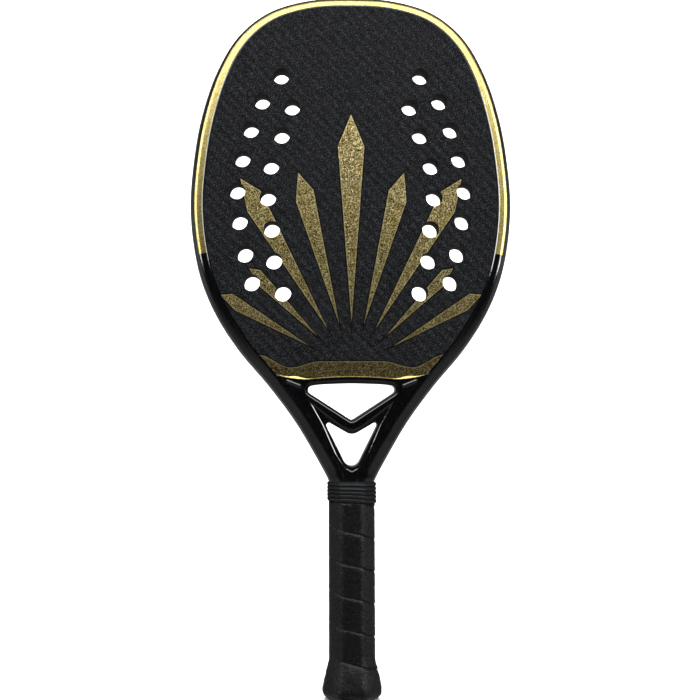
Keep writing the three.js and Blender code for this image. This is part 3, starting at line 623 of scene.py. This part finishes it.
def hole_loops():
    """Circles of all the holes, in pairs left and right."""
    turn = np.arange(48) / 48 * 2 * math.pi
    circle = hole_radius * np.stack([np.cos(turn), np.sin(turn)], axis=1)
    middles = [(way * x * half_head, mix(neck_top_z, overall, z)) for x, z in hole_shares for way in (-1, 1)]
    return [circle + middle for middle in middles]


def flat_piece(name, loops, low_y, high_y, bevel, material, rounds=2, sharp=35):
    """A plate between two depths, cut to loops in X and Z, with rounded rims."""
    curve = bpy.data.curves.new(name, "CURVE")
    curve.dimensions, curve.fill_mode = "2D", "BOTH"
    curve.extrude = ((high_y - low_y) / 2 - bevel) * MM
    curve.bevel_depth, curve.bevel_resolution, curve.offset = bevel * MM, rounds, -bevel * MM
    for loop in loops:
        strand = curve.splines.new("POLY")
        strand.points.add(len(loop) - 1)
        strand.points.foreach_set("co", [c for x, z in loop for c in (x * MM, z * MM, 0, 1)])
        strand.use_cyclic_u = True
    shape = bpy.data.objects.new(name + "_curve", curve)
    bpy.context.collection.objects.link(shape)
    bpy.context.view_layer.update()
    mesh = bpy.data.meshes.new_from_object(shape.evaluated_get(bpy.context.evaluated_depsgraph_get()))
    bpy.data.objects.remove(shape)
    mesh.name = name
    upright = Matrix.Rotation(math.pi / 2, 4, "X")
    mesh.transform(Matrix.Translation((0, (low_y + high_y) / 2 * MM, 0)) @ upright)
    return placed(name, mesh, material, sharp)


def head_loop(step_in, foot, low_z):
    """Loop inside the hoop, a step inside its rounded edge, closed by a foot line."""
    spots, inward = edge_at(np.arange(0, run[-1], 2.0))
    distance = np.interp(spots[:, 1], heights, roundings) + step_in
    side = [tuple(p) for p in spots + inward * distance[:, None] if p[1] > low_z]
    return np.array(side + foot)


laminate_thick, core_inset, core_foot_z, core_deep = 1, 4.0, 236.2, 9.95
foot_run = [(x, z + bond_gap) for x, z in foot_line if abs(x) < foot_corner_x - 1]
face_loop = head_loop(bond_gap, foot_run, face_foot_z + foot_rise + 1)
core_loop = head_loop(core_inset, [], core_foot_z)
for way, node in ((-1, "front_face"), (1, "back_face")):
    low_y, high_y = sorted((way * (hoop_deep - laminate_thick), way * hoop_deep))
    plate = flat_piece(node + "_laminate", [face_loop] + hole_loops(), low_y, high_y, 0.18, face_coat)
    dress(plate, node, "face_laminate")

print("laminates with", 2 * len(hole_shares), "holes each")

# %% [markdown]
# ## Beads and foam
# Gold lacquer gathers in a bead along the foot of each face, thickest beside the window's corners. A loft
# along the foot line is enough, with an upper side that slopes back and so catches the large soft box.
# Inside lies the board of foam, cut from a sheet, which shows only in the walls of the holes.

# %% Beads
bead_half, bead_peak_x, bead_spread = 51, 39.5, 5.5
bead_low, bead_swell, bead_slope = 0.35, 1.4, 0.49
bead_run = [(x, z) for x, z in foot_line if abs(x) < bead_half]
for way, node in ((-1, "front_face"), (1, "back_face")):
    rings = []
    for x, z in bead_run:
        tall = bead_low + bead_swell * math.exp(-(((abs(x) - bead_peak_x) / bead_spread) ** 2))
        high = bead_slope * (tall - 0.15)
        section = [(-0.1, -0.4), (-0.1, 0.5 * high), (0.05, 0.9 * high), (0.2, high)]
        section += [(tall, 0.0), (tall, -0.4)]
        rings.append([(x, way * (hoop_deep + 0.03 + out), z + climb) for climb, out in section])
    bead = mesh_object(node + "_foot_bead", *loft(rings), gold, 24)
    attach(bead, "root")
print("beads of", len(bead_run), "rings")

# %% Foam board
# Cut closed-cell foam is matte and dark, with open cells about 0.4 mm wide that swallow the light.
foam, tree, place = new_material("black_closed_cell_foam")
cells = add(tree, "TexVoronoi", {"Vector": place, "Scale": 2.5})
pores = add(tree, "Bump", {"Height": cells, "Distance": 0.00015, "Strength": 0.8})
# The tone is darker towards the middle of each cell: painted shade in the open pores.
tone = add(tree, "MixRGB", [cells, linear("#101012"), linear("#242527")])
finish_material(tree, {"Base Color": tone, "Roughness": 0.85, "Normal": pores})
core = flat_piece("foam_board", [core_loop] + hole_loops(), -core_deep, core_deep, 0.1, foam, 1)
dress(core, "eva_core", "core_foam")
print("foam board:", len(core.data.polygons), "faces")

# %% [markdown]
# ## Throat
# A bar closes the foot of the head, a V brace ties the two shafts together, and a wedge fills their
# crotch. On the real racket all three are moulded with the tube under one coat of lacquer, so they read
# as one web with two soft-edged windows. We draw the windows as loops, and let a bevel climb from each
# window's wall to a crease that runs round it.

# %% Window loops
window_half, yoke_edge_z, yoke_bow = 31.21, 222.71, 1.5


def arc(centre, radius, start, end, steps=16):
    """Points of a circle between two angles."""
    turn = np.linspace(start, end, steps)
    return [(centre[0] + radius * math.cos(t), centre[1] + radius * math.sin(t)) for t in turn]


def tangent_slope(upper, lower):
    """Slope of the straight edge between two round corners, each (x, z, radius)."""
    gap = math.hypot(upper[0] - lower[0], upper[1] - lower[1])
    return math.atan2(upper[1] - lower[1], upper[0] - lower[0]) + math.asin((lower[2] - upper[2]) / gap)


def mirrored(right_run):
    """A closed loop from its right half, which runs from the foot to the top."""
    return np.array(right_run + [(-x, z) for x, z in reversed(right_run)])


def evenly(loop, step=0.6):
    """The loop with points at even distances."""
    closed = np.vstack([loop, loop[:1]])
    away = lengths_along(closed)
    stops = np.linspace(0, away[-1], int(away[-1] / step), endpoint=False)
    return np.stack([np.interp(stops, away, closed[:, i]) for i in (0, 1)], axis=1)


# Each corner is a circle: centre in x and z, and radius. Straight edges run from circle to circle.
corner, foot = (27.9, 218.26, 2.95), (0, 199.5, 2.4)
slope = tangent_slope(corner, foot)
upper_run = arc(foot[:2], foot[2], -math.pi / 2, slope - math.pi / 2)
upper_run += arc(corner[:2], corner[2], slope - math.pi / 2, math.pi / 2)
upper_run += [(x, yoke_edge_z - yoke_bow * (x / window_half) ** 2) for x in np.linspace(25.5, 0.2, 16)]
upper_window = evenly(mirrored(upper_run))

low_foot, lobe, dip = (0, 170.1, 5.8), (16.2, 193.2, 1.7), (0, 195.0, 8.0)
leg_slope = tangent_slope(lobe, low_foot)
dip_slope = tangent_slope((lobe[0], lobe[1], -lobe[2]), dip)
lower_run = arc(low_foot[:2], low_foot[2], -math.pi / 2, leg_slope - math.pi / 2)
lower_run += arc(lobe[:2], lobe[2], leg_slope - math.pi / 2, math.pi / 2 + dip_slope)
lower_run += arc(dip[:2], dip[2], -math.pi / 2 + dip_slope, -math.pi / 2)
lower_window = evenly(mirrored(lower_run))


def moved(loop, away):
    """The loop moved outwards by a distance."""
    along = np.roll(loop, -1, axis=0) - np.roll(loop, 1, axis=0)
    along /= np.maximum(np.linalg.norm(along, axis=1), 1e-9)[:, None]
    return loop + away * np.stack([along[:, 1], -along[:, 0]], axis=1)


upper_crease = moved(upper_window, 2.5)
upper_crease[:, 1] = np.minimum(upper_crease[:, 1], foot_z(upper_crease[:, 0]) + 0.1)
# Round the lower window the crease runs up between shaft and brace to a tip on each side.
crease_run = [
    (0, 159.6), (4.4, 161.9), (6.8, 164.5), (11.9, 172.4), (16.6, 183.0), (19.6, 190.0), (21.7, 194.4),
    (31.0, 211.0), (25.1, 207.0), (7.3, 193.4), (2.5, 190.9), (0, 190.4),
]
lower_crease = evenly(mirrored(crease_run), 0.5)
windows, creases = (upper_window, lower_window), (upper_crease, lower_crease)
print("window loops:", len(upper_window), "and", len(lower_window), "points")

# %% [markdown]
# ## Height of the web
# Between crease and window the lacquer falls in a short steep step, which draws the bright line, and then
# in a long gentle slope. The height at any point follows from its distance to those two loops, so we need
# no hand modelling.

# %% Height of the web
def distance_to(points, loop):
    """Distance of each point from the nearest side of a closed loop."""
    start, side = loop, np.roll(loop, -1, axis=0) - loop
    offset = points[:, None] - start[None]
    share = np.clip((offset * side).sum(2) / np.maximum((side * side).sum(1), 1e-12), 0, 1)
    return np.linalg.norm(offset - side * share[..., None], axis=2).min(axis=1)


def inside(points, loop):
    """True for each point that lies inside a closed loop."""
    after = np.roll(loop, -1, axis=0)
    (x, z), (x0, z0), (x1, z1) = points.T[:, :, None], loop.T[:, None], after.T[:, None]
    crosses = (z0 > z) != (z1 > z)
    reach = x0 + (z - z0) * (x1 - x0) / np.where(z1 == z0, 1e-9, z1 - z0)
    return (crosses & (x < reach)).sum(1) % 2 == 1


# The step starts 0.42 mm inside the crease. Its slope mirrors the boxes at the sides.
step_start, step_slope, lip_radius = (0.42, 0.11), 0.532, 0.6
ridge_ends, ridge_high = ((45.5, 224.3), (36.5, 220.8)), 0.55


def drop_at(points):
    """How far the web lies under its flat: a step inside each crease, and a round lip at the window."""
    drop = np.zeros(len(points))
    for window, crease, step in zip(windows, creases, (0.34, 0.62)):
        away = np.where(inside(points, crease), distance_to(points, crease), 0)
        end = step_start[1] + step_slope * step
        reaches = [0, 0.2, step_start[0], step_start[0] + step, 0.55 + step, 0.68 + step, 7.3]
        falls = [0, 0.025, step_start[1], end, end + 0.06, end + 0.09, end + 0.87]
        drop += np.interp(away, reaches, falls)
        lip = np.clip(lip_radius - distance_to(points, window), 0, lip_radius)
        drop += lip_radius - np.sqrt(lip_radius**2 - lip * lip)
    # A low ridge leads from the hoop's inner edge into each upper corner.
    for way in (-1, 1):
        ridge = np.array([(way * x, z) for x, z in ridge_ends])
        drop -= ridge_high * np.exp(-((distance_to(points, ridge) / 1.0) ** 2))
    return drop


print("the web falls", round(float(drop_at(lower_window).mean()), 2), "mm to the lower window")

# %% [markdown]
# ## Mould the web
# A sheet of triangles can follow the windows' curves exactly. We scatter points along every line that
# matters and on a plain grid, let a constrained Delaunay net join them, lift both sides to their height,
# and close the rims.

# %% Points of the web
rim_x = half_width_at(web_high_z, seat_inset)
rim_run = [(half_width_at(z, seat_inset), z) for z in np.linspace(web_low_z, web_high_z, 40)]
rim_run += [(x, z + 0.2) for x, z in foot_line if 0 <= x < rim_x - 1.5]
rim = mirrored([(0.4, web_low_z - 0.1)] + rim_run)
loops = [rim, *windows]
crease_steps = (-0.3, 0, 0.2, 0.42, 0.56, 0.72, 0.9, 1.04, 1.17, 1.3, 1.9)
window_steps = (0.1, 0.22, 0.38, 0.6)
spare = [moved(crease, -away) for crease in creases for away in crease_steps]
spare += [moved(window, away) for window in windows for away in window_steps]
# A finer patch of points lies along each ridge.
for way in (-1, 1):
    along, aside = np.meshgrid(np.linspace(-0.1, 1.1, 26), np.linspace(-1.8, 1.8, 9), indexing="ij")
    patch = [way * (49.0 - 15.5 * along - 0.36 * aside), 225.6 - 6 * along + 0.93 * aside]
    spare.append(np.stack(patch, axis=2).reshape(-1, 2))
rows, columns = np.meshgrid(np.arange(152, 226, 1.5), np.arange(-52, 52, 1.5), indexing="ij")
spare = np.vstack(spare + [np.stack([columns.ravel(), rows.ravel()], axis=1)])
spare = spare[inside(spare, rim) & (distance_to(spare, rim) > 0.1)]
for window in windows:
    spare = spare[~inside(spare, window) & (distance_to(spare, window) > 0.07)]
spare = spare[np.unique(np.round(spare / 0.12), axis=0, return_index=True)[1]]

print("the web has", len(spare), "loose points")

# %% Net of the web
sheet = np.vstack(loops + [spare])
borders, first = [], 0
for loop in loops:
    borders += [(first + k, first + (k + 1) % len(loop)) for k in range(len(loop))]
    first += len(loop)
net = geometry.delaunay_2d_cdt([Vector(p) for p in sheet], borders, [], 0, 1e-5)
flat, triangles, sources = net[0], net[2], net[3]
place_of = {source: k for k, group in enumerate(sources) for source in group}
flat = np.array(flat)
middles = flat[np.array(triangles)].mean(axis=1)
kept = inside(middles, rim) & ~inside(middles, upper_window) & ~inside(middles, lower_window)
web_deep = 10.995
high = (web_deep - drop_at(flat)) * np.interp(flat[:, 1], heights, half_depths) / hoop_deep
web_points = [(x, way * y, z) for way in (-1, 1) for (x, z), y in zip(flat, high)]
front = [tuple(face) for face, keep in zip(triangles, kept) if keep]
web_faces = front + [tuple(k + len(flat) for k in face) for face in front]
for start, end in ((place_of[a], place_of[b]) for a, b in borders):
    if start != end:  # the rim names its middle point twice
        web_faces.append((start, end, end + len(flat), start + len(flat)))
web = mesh_object("throat_web", web_points, web_faces, coat, 50)
dress(web, "throat_yoke", "throat_composite", "v_brace", "neck_wedge")
print("throat web:", len(web.data.polygons), "faces")

# %% [markdown]
# ## Handle section
# The handle has eight sides with rounded corners, a little wider than deep. Every ring of the tape and
# the collar is this section, moved in or out, so the two fit each other. The corners are short curves,
# and each side is cut up finely enough for folds.

# %% Octagon rings
grip_half, butt_half, flatness, flare_height = 16.35, 21.2, 2.35, 30.0
flare_shares = [
    (1, 0), (0.87, 0.06), (0.73, 0.32), (0.57, 0.56), (0.4, 0.79), (0.3, 0.94), (0.22, 1),
    (0.155, 0.87), (0.107, 0.62), (0.05, 0.33), (0.017, 0), (0, -0.3),
]
flare = spline([(h * flare_height, mix(grip_half, butt_half, w)) for h, w in flare_shares[:9]], 8)
side_steps, corner_steps, corner_cut = 7, 5, 2.8


def grip_half_width(z):
    """Half width of the grip at a height."""
    return float(np.interp(z, flare[::-1, 0], flare[::-1, 1]))


def octagon(half_wide, half_deep, inset):
    """Points and outward directions round the eight-sided section, moved in by the inset."""
    fx, fy = 0.45 * half_wide, 0.36 * half_deep
    slant = Vector((half_deep - fy, half_wide - fx)).normalized()
    w, d = half_wide - inset, half_deep - inset
    x, y = fx - inset * (1 - slant.y) / slant.x, fy - inset * (1 - slant.x) / slant.y
    corners = [Vector(c) for c in ((w, -y), (w, y), (x, d), (-x, d), (-w, y), (-w, -y), (-x, -d), (x, -d))]
    points = []
    for i, here in enumerate(corners):
        before, after = corners[i - 1], corners[(i + 1) % 8]
        start = here + (before - here).normalized() * corner_cut
        end = here + (after - here).normalized() * corner_cut
        for t in np.linspace(0, 1, corner_steps + 1):
            points.append(start * (1 - t) ** 2 + here * (2 * t * (1 - t)) + end * t**2)
        next_start = after + (here - after).normalized() * corner_cut
        for t in np.arange(1, side_steps) / side_steps:
            points.append(end.lerp(next_start, t))
    return np.array(points)


ring_count = len(octagon(10, 10, 0))
side_place = np.array(([0] * (corner_steps + 1) + list(np.arange(1, side_steps) / side_steps)) * 8)
crown = 4 * side_place * (1 - side_place)
print("points round the handle:", ring_count)

# %% [markdown]
# ## Wound grip tape
# The tape is synthetic leather about 1.8 mm thick, wound upwards from the butt in one strip. The upper
# margin of each turn is pared thin and tucked under the next one, whose lower edge forms the visible
# lip. We wind it the same way: one short section of the strip is swept round the handle and falls one
# pitch a turn.

# %% Tape material
# Embossed synthetic leather gives the eye soft, broken highlights: pores 0.7 mm apart, shallow creases
# about 3 mm long, and specks of dust 0.4 mm wide.
leather, tree, place = new_material("black_synthetic_leather_tape")
pores = add(tree, "TexVoronoi", {"Vector": place, "Scale": 1.5})
creases = add(tree, "TexNoise", {"Vector": place, "Scale": 0.35, "Detail": 4, "Distortion": 0.6})
dust = add(tree, "TexNoise", {"Vector": place, "Scale": 2.5, "Detail": 3})
dusty = add(tree, "MapRange", [dust, 0.35, 0.7])
tone = add(tree, "MixRGB", [dusty, linear("#060606"), linear("#0f1010")])
skin = add(tree, "Math.MULTIPLY_ADD", [pores, 0.5, creases])
relief = add(tree, "Bump", {"Height": skin, "Distance": 0.0005, "Strength": 0.7})
sheen = add(tree, "MapRange", [creases, 0.3, 0.7, 0.24, 0.34])
finish_material(tree, {"Base Color": tone, "Roughness": sheen, "Specular IOR Level": 0.34, "Normal": relief})
print("leather has", len(tree.nodes), "nodes")

# %% Wind the tape
pitch, seam_z, tape_top_z, tape_foot_z = 22.8, 114.0, 138.6, 3.6
# Section of the strip: height above its lower edge, and depth under the grip's surface.
strip_rows = [
    (0.35, 0.95), (0.0, 0.7), (-0.05, 0.4), (0.15, 0.1), (0.6, -0.1), (1.4, -0.12), (3.0, -0.03), (6.0, 0.0),
    (10.0, 0.02), (14.0, 0.02), (18.0, 0.0), (20.5, 0.02), (21.8, 0.16), (22.6, 0.6), (23.3, 1.0),
    (25.2, 1.1), (25.6, 1.4), (25.2, 1.75), (14.0, 1.78), (3.4, 1.78), (2.6, 1.3), (1.6, 1.05),
]
base = octagon(grip_half, grip_half - flatness, 0)
arc_run = lengths_along(np.vstack([base, base[:1]]))
first_turn, last_turn = -2, 6
rng = np.random.default_rng(7)
fold_phase = rng.uniform(0, 2 * math.pi, 6)
edge_wobble, side_swell = 0.14, 0.12
# Soft folds lie where the tape goes over the flare.
fold_mid_z, fold_reach, fold_high, fold_rate = 17, 9, 0.22, 1.15
octagons = {}


def grip_point(j, z, inset):
    """A point of the grip at place j round it, at a height and depth."""
    key = (round(z * 4), round(inset * 20))
    if key not in octagons:
        half = grip_half_width(z)
        octagons[key] = octagon(half, half - flatness, inset)
    return octagons[key][j]


strip_rings = []
for turn_no in range(first_turn, last_turn + 1):
    for j in range(ring_count):
        lower_z = seam_z - pitch * (turn_no + arc_run[j] / arc_run[-1])
        turned = 2 * math.pi * arc_run[j] / arc_run[-1]
        wobble = edge_wobble * math.sin(5 * turned + fold_phase[turn_no % 6])
        ring = []
        for lift_z, depth in strip_rows:
            z = lower_z + lift_z + wobble
            fold = math.exp(-(((z - fold_mid_z) / fold_reach) ** 2))
            fold *= math.sin(fold_rate * z + 1.5 * math.sin(3 * turned))
            swell = side_swell * crown[j] + fold_high * fold if depth < 0.5 else 0
            z_on_grip = min(max(z, tape_foot_z - 4), tape_top_z + 6)
            spot = grip_point(j, max(z_on_grip, tape_foot_z), depth - swell)
            ring.append((spot[0], spot[1], z_on_grip))
        strip_rings.append(ring)
tape = mesh_object("grip_tape_winding", *loft(strip_rings), leather, 45)


def trim(piece, z, keep_below, tilt=0.0):
    """Cuts a closed piece with a plane and closes the cut."""
    shape = bmesh.new()
    shape.from_mesh(piece.data)
    way = 1 if keep_below else -1
    cut = bmesh.ops.bisect_plane(
        shape, geom=[*shape.verts, *shape.edges, *shape.faces], dist=1e-7,
        plane_co=(0, 0, z * MM), plane_no=(way * tilt, 0, way), clear_outer=True,
    )
    rim = [e for e in cut["geom_cut"] if isinstance(e, bmesh.types.BMEdge)]
    bmesh.ops.holes_fill(shape, edges=rim, sides=0)
    bmesh.ops.dissolve_degenerate(shape, dist=1e-6, edges=shape.edges)
    shape.to_mesh(piece.data)
    shape.free()


top_tilt = 0.066
trim(tape, tape_top_z, True, top_tilt)
trim(tape, tape_foot_z, False)
dress(tape, "grip_tape", "grip_tape")
print("tape:", last_turn - first_turn + 1, "turns,", len(tape.data.polygons), "faces")

# %% [markdown]
# ## Ribbed collar
# A moulded rubber sleeve with five ribs is pushed over the end of the tape. Its ribs are half rounds
# that follow the eight sides, and its lip closes in on the shafts. Octagon rings, stacked from the foot to
# the lip and back down the bore, give it both its sides.

# %% Ribbed collar
# Moulded rubber has a satin grey-black skin. A pale bloom clouds it, and a fine grain spreads the light.
rubber, tree, place = new_material("moulded_black_rubber")
bloom = add(tree, "TexNoise", {"Vector": place, "Scale": 0.6, "Detail": 5})
tone = add(tree, "MixRGB", [bloom, linear("#090a0b"), linear("#131518")])
fine = add(tree, "TexNoise", {"Vector": place, "Scale": 3.0, "Detail": 2})
relief = add(tree, "Bump", {"Height": fine, "Distance": 0.00006, "Strength": 0.5})
finish_material(tree, {"Base Color": tone, "Roughness": 0.42, "Specular IOR Level": 0.28, "Normal": relief})

collar_foot, collar_high, collar_half, collar_top_deep = 139.0, 14.0, 17.6, 11.5
ribs, rib_deep, rib_steps = 5, 0.95, 12
outer = []
for step in range(ribs * rib_steps + 1):
    rise = collar_high * step / (ribs * rib_steps)
    phase = (step % rib_steps) / rib_steps
    sink = rib_deep * (1 - math.sqrt(max(0, 1 - (2 * phase - 1) ** 2)))
    narrowed = min(1, max(0, 2 * rise / collar_high - 1))
    outer.append((rise, collar_half, mix(collar_half - flatness, collar_top_deep, narrowed), sink))
outer += [(collar_high + up, collar_half, collar_top_deep, sink) for up, sink in ((0.25, 1.1), (0.2, 1.7))]
# Rows of the bore: height, half width, half depth and inset.
bore = [
    (collar_high - 0.6, 16.65, 9.9, 0), (collar_high - 4.5, 15.35, 13.0, 0), (0.1, 15.35, 13.0, 0),
    (-0.05, 16.9, 14.5, 0),
]
collar_rings = []
for rise, half_wide, half_deep, sink in outer + bore:
    tilt = mix(top_tilt, 0.014, rise / collar_high)
    ring = octagon(half_wide, half_deep, sink)
    collar_rings.append([(x, y, collar_foot + rise - x * tilt) for x, y in ring])
collar = mesh_object("ribbed_collar", *loft(collar_rings, closed=True), rubber, 50)
dress(collar, "grip_collar", "collar_rubber")
print("collar:", len(collar.data.polygons), "faces")

# %% [markdown]
# ## Butt cap and hidden pieces
# Foam fills the ends of the shafts, two moulded half shells give the handle its shape, a cap closes the
# butt, and a band of vinyl holds the end of the tape. Hardly any of this shows, so the CAD pieces stay as
# they are: a bevel modifier rounds their edges, and a plain moulded surface does the rest.

# %% Dress the CAD pieces
def soften(node, material, width, sharp=30):
    """Rounds the crisp edges of a CAD node and gives it a material, without touching its shape."""
    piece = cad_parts[node]
    piece.data.materials.clear()
    piece.data.materials.append(material)
    bevel = piece.modifiers.new("round_edges", "BEVEL")
    bevel.width, bevel.segments, bevel.limit_method = width * MM, 2, "ANGLE"
    bevel.angle_limit = math.radians(sharp)


def plain_moulding(name, dark, light, grain_mm, roughness):
    """A moulded surface with a cloudy tone and a fine grain of a real size."""
    material, tree, place = new_material(name)
    cloud = add(tree, "TexNoise", {"Vector": place, "Scale": 0.25 / grain_mm, "Detail": 4})
    tone = add(tree, "MixRGB", [cloud, linear(dark), linear(light)])
    grain = add(tree, "TexVoronoi", {"Vector": place, "Scale": 1 / grain_mm})
    relief = add(tree, "Bump", {"Height": grain, "Distance": 0.0001 * grain_mm, "Strength": 0.5})
    finish_material(tree, {"Base Color": tone, "Roughness": roughness, "Normal": relief})
    return material


# Moulded ABS looks satin black, and vinyl a little glossier. Rigid foam looks chalky, and polyurethane dull.
abs_plastic = plain_moulding("black_moulded_abs", "#141414", "#202121", 0.6, 0.5)
rigid_foam = plain_moulding("rigid_expanding_foam", "#b3a787", "#d8cca8", 1.2, 0.9)
pallet = plain_moulding("moulded_polyurethane", "#6b6a66", "#8a8984", 0.8, 0.75)
vinyl = plain_moulding("black_vinyl_tape", "#0c0c0d", "#18181a", 0.5, 0.35)
hidden = [
    ("butt_cap", abs_plastic, 0.3), ("left_shaft_foam", rigid_foam, 0.3),
    ("right_shaft_foam", rigid_foam, 0.3), ("front_pallet", pallet, 0.2), ("back_pallet", pallet, 0.2),
    ("finishing_tape", vinyl, 0.1),
]
for node, material, width in hidden:
    soften(node, material, width)
print("softened", len(hidden), "CAD pieces")

# %% [markdown]
# ## Finish
# The dressed racket should keep the CAD model's size, so the box of what is shown is printed.

# %% Print the visual box
low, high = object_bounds()
print("visual box in mm:", [round(side / MM, 1) for side in high - low])
